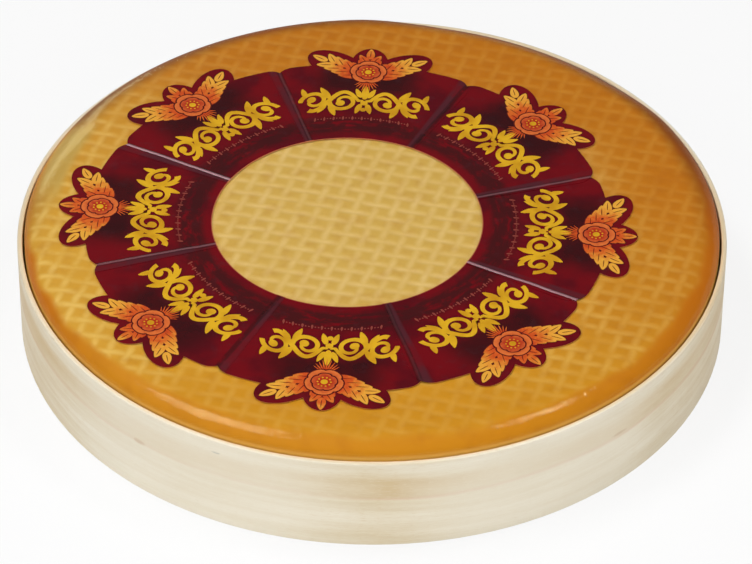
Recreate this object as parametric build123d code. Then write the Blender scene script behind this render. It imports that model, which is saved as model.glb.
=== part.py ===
from build123d import *
import math
import os

# A round wooden cheese box: a shallow tray of bent veneer with a smoked cheese wheel in it.
# The wheel is wrapped in clear film, and a ring of sector labels lies on the film.
# Millimetres. Z is up, and the origin is the centre of the tray's underside.

# The hoop, one strip of veneer bent to a circle and closed at the back
HOOP_RADIUS = 150.0
HOOP_WALL = 2.2
HOOP_HEIGHT = 43.0
HOOP_EDGE = 0.5

# The skived lap that closes the hoop: each end thins to a blunt tip and lies on the other
LAP_LENGTH = 48.0
LAP_TIP = 0.5
LAP_GAP = 0.3
BACK = 90.0

# The wire staples that hold the lap, driven from outside and clinched inside
STAPLE_CROWN = 9.0
STAPLE_WIDTH = 1.2
STAPLE_WIRE = 0.5
STAPLE_FOOT = 3.4
STAPLE_SINK = 0.06
STAPLE_FIT = 0.05
STAPLE_HEIGHTS = (13.0, 31.0)
STAPLE_ANGLE_SHARES = (-0.3, 0.3)

# The board that closes the tray's foot
BOARD_THICKNESS = 4.0
BOARD_FIT = 0.15
BOARD_EDGE = 0.4

# The cheese wheel and its clear film
WHEEL_HEIGHT = 45.6
WHEEL_CLEARANCE = 0.5
WHEEL_FOOT = 5.0
SHOULDER_REACH = 11.0
SHOULDER_DROP = 6.6
FILM_THICKNESS = 0.2
FILM_GAP = 0.2
FILM_HEM = 38.0
FILM_WELD = 14.0

# The ring of sector labels, laid a little off the wheel's centre: its outer edge is set in from
# the wheel's by a margin, and each label is one band wide
LABEL_COUNT = 8
LABEL_START = 17.9
LABEL_X = -10.5
LABEL_Y = -4.0
LABEL_MARGIN = 36.6
LABEL_BAND = 53.7
LABEL_CORNER = 8.5
LABEL_THICKNESS = 0.15
LABEL_LAP = 5.6
LABEL_STEP = 1.0
LABEL_BUTT = 0.1

# The die-cut crest at the middle of each label's outer edge: one middle lobe and two side lobes
CREST_REACH = 11.8
CREST_MIDDLE_LENGTH = 13.0
CREST_MIDDLE_WIDTH = 8.5
CREST_SIDE_LENGTH = 14.5
CREST_SIDE_WIDTH = 8.6
CREST_SIDE_SPREAD = 18.5
CREST_SIDE_SINK = 4.3
CREST_SIDE_TILT = 30.0

# One overrun for every cut
OVERRUN = 1.0

HOOP_BORE = HOOP_RADIUS - HOOP_WALL
FILM_RADIUS = HOOP_BORE - WHEEL_CLEARANCE
WHEEL_RADIUS = FILM_RADIUS - FILM_THICKNESS - FILM_GAP
WHEEL_BOTTOM = BOARD_THICKNESS + 2 * FILM_THICKNESS + FILM_GAP
FILM_TOP = WHEEL_BOTTOM + WHEEL_HEIGHT + FILM_GAP + FILM_THICKNESS
LABEL_OUTER = FILM_RADIUS - LABEL_MARGIN
LABEL_INNER = LABEL_OUTER - LABEL_BAND
LABEL_PITCH = 360 / LABEL_COUNT
QUARTER = 90


def polar(radius, angle):
    """Point in plan at a radius and an angle in degrees."""
    return radius * math.cos(math.radians(angle)), radius * math.sin(math.radians(angle))


def arc(radius, start, end):
    """Arc in plan about the origin."""
    return ThreePointArc(polar(radius, start), polar(radius, (start + end) / 2), polar(radius, end))


def closed_face(first, second):
    """Face between two curves that run the same way, closed by a line at each end."""
    return make_face([first, Line(first @ 1, second @ 1), second, Line(second @ 0, first @ 0)])


def revolved(section):
    """Solid of revolution about Z from a section drawn as radius and height."""
    return revolve(Plane.XZ * section, Axis.Z)


def lap_angle():
    """Angle in degrees that the hoop's lap spans."""
    return math.degrees(LAP_LENGTH / HOOP_RADIUS)


def lap_slit():
    """The slanting gap between the two ends of the strip, from the bore out to the face."""
    first = BACK - lap_angle() / 2
    last = BACK + lap_angle() / 2
    low = HOOP_BORE + LAP_TIP
    high = HOOP_RADIUS - LAP_TIP - LAP_GAP
    middle = (low + high) / 2
    curves = [
        ThreePointArc(polar(low + shift, first), polar(middle + shift, BACK), polar(high + shift, last))
        for shift in (0, LAP_GAP)
    ]
    slit = closed_face(*curves)
    for angle, start, end in ((first, HOOP_BORE - OVERRUN, low + LAP_GAP), (last, high, HOOP_RADIUS + OVERRUN)):
        slit += Rot(0, 0, angle) * Pos((start + end) / 2, 0) * Rectangle(end - start, LAP_GAP)
    return Pos(0, 0, -OVERRUN) * extrude(slit, HOOP_HEIGHT + 2 * OVERRUN)


def staple(fit, reach):
    """One clinched staple at the back, grown by a fit, its crown and feet thickened by a reach."""
    outer = HOOP_RADIUS - STAPLE_SINK
    width = STAPLE_WIDTH + 2 * fit
    crown_low = outer - STAPLE_WIRE - fit
    crown = Pos(0, (crown_low + outer + reach) / 2) * Box(
        width, outer + reach - crown_low, STAPLE_CROWN + 2 * fit
    )
    inner = HOOP_BORE + STAPLE_SINK
    foot_high = inner + STAPLE_WIRE + fit
    solid = crown
    for side in (-1, 1):
        leg_z = side * (STAPLE_CROWN - STAPLE_WIRE) / 2
        leg = Box(width, outer - inner, STAPLE_WIRE + 2 * fit)
        solid += Pos(0, (outer + inner) / 2, leg_z) * leg
        foot = Box(width, foot_high - inner + reach, STAPLE_FOOT + 2 * fit)
        foot_z = side * (STAPLE_CROWN - STAPLE_FOOT) / 2
        solid += Pos(0, (foot_high + inner - reach) / 2, foot_z) * foot
    return solid


def staple_places():
    """Places of all the staples, in two columns across the lap."""
    return [
        Rot(0, 0, share * lap_angle()) * Pos(0, 0, height)
        for share in STAPLE_ANGLE_SHARES
        for height in STAPLE_HEIGHTS
    ]


def make_side_hoop():
    """The bent strip, with its lap at the back and a seat for each staple."""
    section = Pos((HOOP_BORE + HOOP_RADIUS) / 2, HOOP_HEIGHT / 2) * Rectangle(HOOP_WALL, HOOP_HEIGHT)
    section = fillet(section.vertices().group_by(Axis.Y)[-1], HOOP_EDGE)
    hoop = revolved(section) - lap_slit()
    for place in staple_places():
        hoop -= place * staple(STAPLE_FIT, OVERRUN)
    return hoop


def make_hoop_staples():
    """All the staples, as separate solids."""
    return Compound(children=[place * staple(0, 0) for place in staple_places()])


def make_base_board():
    """The round board, glued inside the foot of the hoop and flush with it."""
    radius = HOOP_BORE - BOARD_FIT
    section = Pos(radius / 2, BOARD_THICKNESS / 2) * Rectangle(radius, BOARD_THICKNESS)
    corners = [vertex for vertex in section.vertices() if vertex.X > radius / 2]
    return revolved(chamfer(corners, BOARD_EDGE))


def wheel(grow):
    """The wheel's form, grown all round by an even skin."""
    radius = WHEEL_RADIUS + grow
    low = WHEEL_BOTTOM - grow
    high = WHEEL_BOTTOM + WHEEL_HEIGHT + grow
    foot = WHEEL_FOOT + grow
    reach = SHOULDER_REACH + grow
    drop = SHOULDER_DROP + grow
    bottom = Line((0, low), (radius - foot, low))
    turn = CenterArc((radius - foot, low + foot), foot, 270, QUARTER)
    shoulder = EllipticalCenterArc((radius - reach, high - drop), reach, drop, arc_size=QUARTER)
    side = Line(turn @ 1, shoulder @ 0)
    top = Line(shoulder @ 1, (0, high))
    return revolved(make_face([bottom, turn, side, shoulder, top, Line(top @ 1, bottom @ 0)]))


def make_cheese_wheel():
    """The smoked wheel with its soft shoulder."""
    return wheel(0)


def hem_radius():
    """Radius of the opening that the turned-under film leaves below the wheel."""
    return FILM_RADIUS - FILM_HEM


def make_film_cover():
    """The clear film over the top and side, turned under the wheel as a hem."""
    skin = wheel(FILM_GAP + FILM_THICKNESS) - wheel(FILM_GAP)
    hole_height = FILM_THICKNESS + 2 * OVERRUN
    hole_z = BOARD_THICKNESS + FILM_THICKNESS + FILM_THICKNESS / 2
    return skin - Pos(0, 0, hole_z) * Cylinder(hem_radius(), hole_height)


def make_film_base_sheet():
    """The film's bottom sheet, welded to the hem from below."""
    sheet = Cylinder(hem_radius() + FILM_WELD, FILM_THICKNESS)
    return Pos(0, 0, BOARD_THICKNESS + FILM_THICKNESS / 2) * sheet


def sector(start, end, overrun=0):
    """Ring sector of the label ring, in plan about the ring's own centre."""
    return closed_face(arc(LABEL_INNER - overrun, start, end), arc(LABEL_OUTER + overrun, start, end))


def sheet(start, end):
    """A label's plain sheet, with its two outer corners rounded."""
    sketch = sector(start, end)
    for angle in (start, end):
        corner = Vector(*polar(LABEL_OUTER, angle))
        sketch = fillet(sketch.vertices().sort_by_distance(corner)[0], LABEL_CORNER)
    return sketch


def crest(middle):
    """The crest's three lobes round a label's middle angle."""
    lobes = Pos(LABEL_OUTER + CREST_REACH - CREST_MIDDLE_LENGTH, 0) * Ellipse(
        CREST_MIDDLE_LENGTH, CREST_MIDDLE_WIDTH
    )
    for side in (-1, 1):
        place = Pos(LABEL_OUTER - CREST_SIDE_SINK, side * CREST_SIDE_SPREAD / 2)
        tilt = Rot(0, 0, side * (90 - CREST_SIDE_TILT))
        reach = Pos(CREST_SIDE_LENGTH - CREST_SIDE_WIDTH, 0)
        lobes += place * tilt * reach * Ellipse(CREST_SIDE_LENGTH, CREST_SIDE_WIDTH)
    return Rot(0, 0, middle) * lobes


def make_label(index):
    """One sector label, whose first edge steps up and laps over its neighbour's last edge."""
    start = LABEL_START + index * LABEL_PITCH
    butt = math.degrees(LABEL_BUTT / LABEL_OUTER)
    lap = math.degrees(LABEL_LAP / LABEL_OUTER)
    step = math.degrees(LABEL_STEP / LABEL_INNER)
    end = start + LABEL_PITCH - butt
    whole = sheet(start - lap, end)
    main = whole - sector(start - 2 * lap, start, OVERRUN) + crest((start + end) / 2)
    edge = whole - sector(start + step, end + lap, OVERRUN)
    label = extrude(main, LABEL_THICKNESS) + Pos(0, 0, LABEL_THICKNESS) * extrude(edge, LABEL_THICKNESS)
    return Pos(LABEL_X, LABEL_Y, FILM_TOP) * label


def save(shape, name):
    """Writes one sub-part and prints what it measures."""
    box = shape.bounding_box()
    print(name, len(shape.solids()), round(shape.volume, 1), box.min, box.max)
    export_step(shape, "parts/" + name + ".step")


def main():
    """Builds every sub-part and writes one file for each."""
    os.makedirs("parts", exist_ok=True)
    save(make_base_board(), "base_board")
    save(make_side_hoop(), "side_hoop")
    save(make_hoop_staples(), "hoop_staples")
    save(make_cheese_wheel(), "cheese_wheel")
    save(make_film_cover(), "film_cover")
    save(make_film_base_sheet(), "film_base_sheet")
    for index in range(LABEL_COUNT):
        save(make_label(index), "label_" + str(index + 1))


main()
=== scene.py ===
# %% [markdown]
# This lesson dresses a cheese box: a shallow round tray of bent veneer, and in it a smoked cheese
# wheel that is wrapped in clear film and carries a ring of eight printed labels. The construction
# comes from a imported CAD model, called the frame. Its pieces are never moved or changed here. They
# get their looks, and the wheel and its film are replaced by finer meshes of nearly the same form.

import math

import bpy
import numpy as np
from mathutils import Matrix, Vector


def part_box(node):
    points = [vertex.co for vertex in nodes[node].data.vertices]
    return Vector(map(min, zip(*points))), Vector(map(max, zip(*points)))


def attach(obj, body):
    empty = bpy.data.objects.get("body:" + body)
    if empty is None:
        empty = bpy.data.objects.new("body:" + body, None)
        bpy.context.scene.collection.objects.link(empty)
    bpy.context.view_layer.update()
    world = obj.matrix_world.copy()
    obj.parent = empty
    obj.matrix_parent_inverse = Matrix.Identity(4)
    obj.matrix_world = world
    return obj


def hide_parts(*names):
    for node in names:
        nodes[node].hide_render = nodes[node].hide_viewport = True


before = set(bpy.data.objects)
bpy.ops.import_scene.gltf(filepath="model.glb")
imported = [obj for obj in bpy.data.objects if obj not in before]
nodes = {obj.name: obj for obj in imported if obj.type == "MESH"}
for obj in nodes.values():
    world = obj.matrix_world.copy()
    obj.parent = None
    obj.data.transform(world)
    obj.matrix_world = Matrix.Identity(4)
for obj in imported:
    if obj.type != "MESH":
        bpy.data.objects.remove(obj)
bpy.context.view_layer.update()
MM = 0.001

# %% [markdown]
# Sizes are read from the frame where it knows them, and turned into millimetres. What the boxes of
# the nodes can't tell, such as where the ring of labels has its centre, is named here once.

# %% Sizes of the pieces, in millimetres
hoop_low, hoop_high = [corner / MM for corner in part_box("side_hoop")]
wheel_low, wheel_high = [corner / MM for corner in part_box("cheese_wheel")]
film_low, film_high = [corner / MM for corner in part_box("film_cover")]
HOOP_RADIUS = hoop_high.x
HOOP_HEIGHT = hoop_high.z
HOOP_WALL = 2.2
WHEEL_RADIUS = wheel_high.x
FILM_RADIUS = film_high.x
FILM_TOP = film_high.z
SHOULDER_REACH = 11.0
SHOULDER_DROP = 6.6
WHEEL_FOOT = 5.0
FILM_HEM = 38.0
LABEL_X = -10.5
LABEL_Y = -4.0
LABEL_INNER = 57.0
LABEL_OUTER = 110.7
LABEL_COUNT = 8
LABEL_START = 17.9
LABEL_PITCH = 360 / LABEL_COUNT
LABEL_THICKNESS = 0.15
LABEL_LAP = 5.6
LAP_LENGTH = 48.0
print("hoop radius", HOOP_RADIUS, "from", hoop_low.z, "to", HOOP_HEIGHT)
print("wheel radius", WHEEL_RADIUS, "film top", FILM_TOP)

# %% [markdown]
# Colours in a photograph are display colours, and a shader wants linear ones. A short helper turns
# one into the other, so the colours below can be read like those of a paint card, from 0 to 255.


# %% Paint card colours
def paint_card(red, green, blue):
    """Linear colour with alpha from display values of 0 to 255."""
    shares = [value / 255 for value in (red, green, blue)]
    linear = [s / 12.92 if s <= 0.04045 else ((s + 0.055) / 1.055) ** 2.4 for s in shares]
    return (*linear, 1.0)


# %% [markdown]
# Shader maths soon turns into dozens of small nodes. Wiring them by hand hides the formula, so a
# small class wraps a socket and lets plain Python operators add the Math nodes. An expression such
# as 1 - mask * 0.5 then reads as the formula that it is.


# %% Shader maths as expressions
class Flow:
    """A value that comes out of a node, with Python's own arithmetic."""

    def __init__(self, paint, socket):
        self.paint = paint
        self.socket = socket

    def worked(self, operation, first, second=None):
        """Adds a Math node for an operation on one value or two."""
        given = {0: first} if second is None else {0: first, 1: second}
        return self.paint.node("ShaderNodeMath", {"operation": operation}, given)

    def __add__(self, other):
        return self.worked("ADD", self, other)

    def __radd__(self, other):
        return self.worked("ADD", other, self)

    def __sub__(self, other):
        return self.worked("SUBTRACT", self, other)

    def __rsub__(self, other):
        return self.worked("SUBTRACT", other, self)

    def __mul__(self, other):
        return self.worked("MULTIPLY", self, other)

    def __rmul__(self, other):
        return self.worked("MULTIPLY", other, self)

    def __truediv__(self, other):
        return self.worked("DIVIDE", self, other)

    def __pow__(self, other):
        return self.worked("POWER", self, other)

    def __abs__(self):
        return self.worked("ABSOLUTE", self)

    def __mod__(self, other):
        return self.worked("FLOORED_MODULO", self, other)

    def floor(self):
        return self.worked("FLOOR", self)

    def cosine(self):
        return self.worked("COSINE", self)

    def sine(self):
        return self.worked("SINE", self)

    def root(self):
        return self.worked("SQRT", self)

    def above(self, other):
        return self.worked("MAXIMUM", self, other)

    def below(self, other):
        return self.worked("MINIMUM", self, other)

    def angle_from(self, across):
        return self.worked("ARCTAN2", self, across)

    def held(self):
        """The value kept between 0 and 1."""
        return self.above(0.0).below(1.0)

    def rise(self, start, end):
        """A smooth step from 0 at start to 1 at end, which may also run downwards."""
        share = ((self - start) / (end - start)).held()
        return share * share * (3.0 - 2.0 * share)


# %% [markdown]
# Every other kind of node comes from one method, which takes the node's type, its settings and what
# its sockets are given. It belongs to a second class, which stands for one material. The nodes that
# come up again and again, such as a colour mix or soft noise, get a short way of their own there.


# %% One material and its nodes
class Paint:
    """One material, its node tree, and short ways to fill it."""

    def __init__(self, name):
        self.material = bpy.data.materials.new(name)
        self.material.use_nodes = True
        self.tree = self.material.node_tree
        self.tree.nodes.clear()
        self.output = self.tree.nodes.new("ShaderNodeOutputMaterial")

    def node(self, kind, settings=None, given=None, out=0):
        """Adds a node: its settings first, then the values or links of its sockets."""
        node = self.tree.nodes.new(kind)
        for key, value in (settings or {}).items():
            if key == "stops":
                self.fill_ramp(node.color_ramp, value)
            else:
                setattr(node, key, value)
        for key, value in (given or {}).items():
            if isinstance(value, Flow):
                self.tree.links.new(value.socket, node.inputs[key])
            else:
                node.inputs[key].default_value = value
        return Flow(self, node.outputs[out])

    def fill_ramp(self, ramp, stops):
        """Gives a colour ramp its stops, each a place and a colour."""
        while len(ramp.elements) < len(stops):
            ramp.elements.new(1.0)
        for element, (place, colour) in zip(ramp.elements, stops):
            element.position = place
            element.color = colour

    def mix(self, factor, first, second):
        """One colour turning into another as the factor goes from 0 to 1."""
        given = {0: factor, 6: first, 7: second}
        return self.node("ShaderNodeMix", {"data_type": "RGBA"}, given, out=2)

    def vector(self, x, y, z):
        """Three values joined into a vector."""
        return self.node("ShaderNodeCombineXYZ", given={0: x, 1: y, 2: z})

    def noise(self, vector, scale, detail=3.0, roughness=0.5):
        """Soft noise between 0 and 1 at a vector's place."""
        given = {"Vector": vector, "Scale": scale, "Detail": detail, "Roughness": roughness}
        return self.node("ShaderNodeTexNoise", given=given, out="Fac")

    def millimetres(self):
        """The place on the piece in its own millimetres, as three values."""
        place = self.node("ShaderNodeTexCoord", out="Object")
        split = self.node("ShaderNodeSeparateXYZ", given={0: place}).socket.node
        return [Flow(self, socket) / MM for socket in split.outputs]

    def bump(self, height, distance, strength=1.0):
        """A normal shaped by a height in shares of a distance."""
        given = {"Height": height, "Distance": distance, "Strength": strength}
        return self.node("ShaderNodeBump", given=given, out="Normal")

    def surface(self, **given):
        """The main shader; its socket names are written with low lines for blanks."""
        named = {key.replace("_", " "): value for key, value in given.items()}
        return self.node("ShaderNodeBsdfPrincipled", given=named, out="BSDF")

    def show(self, shader):
        """Sends a shader to the output and returns the finished material."""
        self.tree.links.new(shader.socket, self.output.inputs["Surface"])
        print("material", self.material.name, "with", len(self.tree.nodes), "nodes")
        return self.material


# %% [markdown]
# Two measures come up in nearly every finish of a round box: how far a place is from the middle,
# and how far round it lies. Both are expressions on values, so they work on any material's place.


# %% Measures on a round box
def distance(x, y):
    """How far a place is from the middle."""
    return (x * x + y * y).root()


def degrees_round(x, y):
    """The turn of a place about the middle, from 0 to 360 degrees, starting at the right."""
    return (y.angle_from(x) % (2 * math.pi)) * (180 / math.pi)


# %% [markdown]
# The camera stands where the photographer stood. A round box gives that away: how flat the rim's
# ellipse looks tells the height, and how fast the near side grows tells the distance. It is a long
# lens from almost two metres, so the box is drawn with hardly any perspective.

# %% Camera
PHOTO_WIDTH = 752
FOCAL_PIXELS = 4385.2
CAMERA_BACK = 1450.4
CAMERA_UP = 1202.6
AIM = (1.8, -7.3, 20.0)
CAMERA_ROLL = 0.007

camera_data = bpy.data.cameras.new("photo_camera")
camera_data.sensor_width = 36.0
camera_data.lens = camera_data.sensor_width * FOCAL_PIXELS / PHOTO_WIDTH
camera = bpy.data.objects.new("photo_camera", camera_data)
bpy.context.scene.collection.objects.link(camera)
bpy.context.scene.camera = camera


def aim(thing, place, target, roll=0.0):
    """Puts a camera or lamp at a place, in millimetres, so that it looks at a target."""
    here = Vector(place) * MM
    there = Vector(target) * MM
    look = (there - here).to_track_quat("-Z", "Y")
    thing.matrix_world = Matrix.LocRotScale(here, look, None) @ Matrix.Rotation(roll, 4, "Z")


aim(camera, (0.0, -CAMERA_BACK, CAMERA_UP), AIM, CAMERA_ROLL)
bpy.context.view_layer.update()
print("lens in mm", round(camera_data.lens, 1))

# %% [markdown]
# The light is a plain photo studio: two soft boxes above the box, to its left and right, and two
# large panels in front, which light the wood. All four would veil the film, as a window veils a
# shop display, so gloss is told not to see them; a photographer gets the same with a polarising
# filter. What the film mirrors instead are three cards that light nothing. The ones on the left
# and right are the highlights on the shoulder in front, and the one behind is the pale crescent at
# the back on the left. A highlight is its lamp's mirror image, so a card's direction says where it
# lies, and its two sides and its roll say how long, how thick and how slanted it is. The room
# itself is dim, so that the dark print keeps its depth. Together they light a colour about as it
# is written.

# %% Light
LAMP_DISTANCE = 1300.0
LAMP_TARGET = (0.0, 0.0, 30.0)
ROOM_LEVEL = 0.14


def soft_box(name, direction, width, height, watts, roll=0.0, mirrored=True, lighting=True):
    """A rectangular lamp in a direction from the box, facing it, rolled by some degrees."""
    data = bpy.data.lights.new(name, "AREA")
    data.shape = "RECTANGLE"
    data.size = width * MM
    data.size_y = height * MM
    data.energy = watts
    lamp = bpy.data.objects.new(name, data)
    lamp.visible_glossy = mirrored
    lamp.visible_diffuse = lighting
    bpy.context.scene.collection.objects.link(lamp)
    place = Vector(direction).normalized() * LAMP_DISTANCE
    aim(lamp, place, LAMP_TARGET, math.radians(roll))


soft_box("left_soft_box", (-0.31, 0.03, 0.94), 660.0, 340.0, 7.0, mirrored=False)
soft_box("right_soft_box", (0.39, 0.07, 0.91), 270.0, 240.0, 2.5, mirrored=False)
soft_box("left_card", (-0.425, -0.094, 0.906), 640.0, 450.0, 9.2, roll=-31.5, lighting=False)
soft_box("right_card", (0.410, 0.050, 0.910), 360.0, 140.0, 2.8, roll=16.0, lighting=False)
soft_box("back_card", (-0.37, 0.873, 0.317), 350.0, 290.0, 1.7, lighting=False)
soft_box("front_left_panel", (-0.60, -0.70, 0.58), 1300.0, 1000.0, 6.5, mirrored=False)
soft_box("front_right_panel", (0.57, -0.73, 0.58), 1300.0, 1000.0, 6.5, mirrored=False)

world = bpy.data.worlds.new("studio_room")
bpy.context.scene.world = world
world.use_nodes = True
world.node_tree.nodes["Background"].inputs["Color"].default_value = (1.0, 1.0, 1.0, 1.0)
world.node_tree.nodes["Background"].inputs["Strength"].default_value = ROOM_LEVEL
bpy.context.scene.view_settings.view_transform = "Standard"
print("lamps", len(bpy.data.lights), "room level", ROOM_LEVEL)

# %% [markdown]
# The pieces made here are worked out as numbers first and turned into a mesh at the end. One helper
# does that: it takes points in millimetres and faces, smooths the shading where it should, and
# lets the piece ride on its body of the frame, so that it moves with the wheel. A second helper
# gives a piece of the frame its finish.


# %% From numbers to a piece
def piece(name, points, faces, material, body="cheese", smooth=True):
    """A mesh piece from points in millimetres, riding on a body."""
    mesh = bpy.data.meshes.new(name)
    mesh.from_pydata((np.asarray(points, float) * MM).tolist(), [], faces)
    mesh.materials.append(material)
    mesh.polygons.foreach_set("use_smooth", [smooth] * len(mesh.polygons))
    mesh.validate()
    thing = bpy.data.objects.new(name, mesh)
    bpy.context.scene.collection.objects.link(thing)
    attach(thing, body)
    return thing


def dress(name, material):
    """Gives a piece of the frame its material."""
    nodes[name].material_slots[0].material = material


def arc_points(centre, reach, drop, start, end, count):
    """Points on an elliptical arc between two angles in degrees."""
    angles = [math.radians(start + (end - start) * index / count) for index in range(count + 1)]
    return [(centre[0] + reach * math.cos(a), centre[1] + drop * math.sin(a)) for a in angles]


def turned(profile, segments, closed=True):
    """Points and faces of a profile of radius and height, turned about Z.

    A closed profile that starts and ends on the axis gets a point at each end, and any other
    closed one is joined from its last ring back to its first."""
    on_axis = closed and profile[0][0] == 0
    rings = profile[1:-1] if on_axis else profile
    turn = np.arange(segments) * 2 * math.pi / segments
    radii = np.array([ring[0] for ring in rings])[:, None]
    heights = np.array([ring[1] for ring in rings])[:, None] + 0 * turn
    points = np.stack([radii * np.cos(turn), radii * np.sin(turn), heights], 2).reshape(-1, 3)
    count = len(rings)
    steps = count if closed and not on_axis else count - 1
    faces = []
    for ring in range(steps):
        for index in range(segments):
            following = (index + 1) % segments
            low = ring * segments
            high = (ring + 1) % count * segments
            faces.append((low + index, high + index, high + following, low + following))
    if on_axis:
        first = len(points)
        points = np.vstack([points, [[0, 0, profile[0][1]], [0, 0, profile[-1][1]]]])
        last = (count - 1) * segments
        for index in range(segments):
            following = (index + 1) % segments
            faces.append((first, index, following))
            faces.append((first + 1, last + following, last + index))
    return points, faces


# %% [markdown]
# The box stands on white studio paper that curls up at its far edge, all round. To the camera, and
# in mirror images, the paper shows almost white, as in the photograph. For every other ray it is
# plain paper, so it keeps the soft shadow under the box and throws light back on the wood.

# %% Studio paper
PAPER_WHITE = paint_card(236, 236, 236)
WHITE_SHARE = 0.82
PAPER_DROP = 0.2
PAPER_MIDDLE = 450.0
PAPER_FLAT = 4500.0
PAPER_BEND = 1200.0
PAPER_BEND_STEPS = 8
PAPER_SEGMENTS = 48


def studio_paper():
    """White paper that shows brighter than it is lit."""
    paint = Paint("studio_paper")
    matte = paint.node("ShaderNodeBsdfDiffuse", given={"Color": PAPER_WHITE})
    white = paint.node("ShaderNodeEmission", given={"Color": (1, 1, 1, 1), "Strength": 1.0})
    path = paint.node("ShaderNodeLightPath", out="Is Camera Ray").socket.node
    shown = Flow(paint, path.outputs["Is Camera Ray"])
    shown = shown.above(Flow(paint, path.outputs["Is Glossy Ray"]))
    shown = shown.above(Flow(paint, path.outputs["Is Transmission Ray"]))
    given = {0: shown * WHITE_SHARE, 1: matte, 2: white}
    return paint.show(paint.node("ShaderNodeMixShader", given=given))


def lay_paper():
    """The floor and its curled edge as one sheet."""
    bend = arc_points((PAPER_FLAT, PAPER_BEND), PAPER_BEND, PAPER_BEND, -90, 0, PAPER_BEND_STEPS)
    profile = [(PAPER_MIDDLE, 0.0), *bend]
    points, faces = turned(profile, PAPER_SEGMENTS, closed=False)
    faces.append(tuple(range(PAPER_SEGMENTS)))
    mesh = bpy.data.meshes.new("paper")
    points = points - np.array([0.0, 0.0, PAPER_DROP])
    mesh.from_pydata((points * MM).tolist(), [], faces)
    mesh.materials.append(studio_paper())
    paper = bpy.data.objects.new("paper", mesh)
    bpy.context.scene.collection.objects.link(paper)
    print("paper faces", len(faces))


lay_paper()

# %% [markdown]
# The hoop is one strip of peeled poplar, so its grain runs along the strip, round the box. A flat
# wood texture laid over a ring would show straight planks. Here the place on the ring is unrolled
# first: the angle becomes a length along the strip, counted from the skived end at the back, and
# the streaks are noise that is stretched far along that length and squeezed across it. A tan band
# of heartwood runs through the upper half, with two small knots on its lower edge. Pale ovals of
# painted light lie where the lamps light the strip most, and tan ovals of painted shade lie on its
# far left and right. Each oval is given by its angle in plan, its height, its length and its width.


# %% Wood of the hoop
CREAM = paint_card(221, 205, 172)
PALE = paint_card(243, 236, 218)
TAN = paint_card(209, 181, 132)
PINK = paint_card(212, 168, 128)
KNOT = paint_card(196, 158, 114)
FLECK = paint_card(160, 156, 144)
# painted light for the hoop's inner top edge
PAINTED_BOUNCE_EDGE = paint_card(240, 212, 164)
BAND_LOW = 25.0
BAND_HIGH = 36.5
KNOT_PLACES = ((-128.6, 25.5, 3.4, 1.5), (-47.5, 26.4, 5.0, 0.9))
FLECK_PLACE = (-114.2, 37.2, 2.2, 0.7)
PAINTED_SHADE_PLACES = ((178.0, 20.0, 110.0, 70.0), (-4.0, 20.0, 90.0, 70.0))
PAINTED_LIGHT_PLACES = ((-119.0, 20.0, 78.0, 70.0), (-62.0, 20.0, 70.0, 70.0), (40.0, 20.0, 90.0, 70.0))


def along_strip(x, y):
    """Length in millimetres along the unrolled strip, from its end at the back, and the radius."""
    radius = distance(x, y)
    wall_share = ((radius - (HOOP_RADIUS - HOOP_WALL)) / HOOP_WALL).held()
    lap = LAP_LENGTH / HOOP_RADIUS
    end = math.pi / 2 - lap / 2 + wall_share * lap
    angle = y.angle_from(x)
    return ((angle - end) % (2 * math.pi)) * HOOP_RADIUS, radius


def strip_length(degrees):
    """The same length for a place on the outer face, given its angle in plan."""
    end = 90 + math.degrees(LAP_LENGTH / HOOP_RADIUS) / 2
    return math.radians((degrees - end) % 360) * HOOP_RADIUS


def spot(length, height, place):
    """A soft oval mark: 1 in its middle and 0 outside."""
    degrees, level, long, wide = place
    across = (length - strip_length(degrees)) / long
    up = (height - level) / wide
    return (across * across + up * up).rise(1.0, 0.1)


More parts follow.
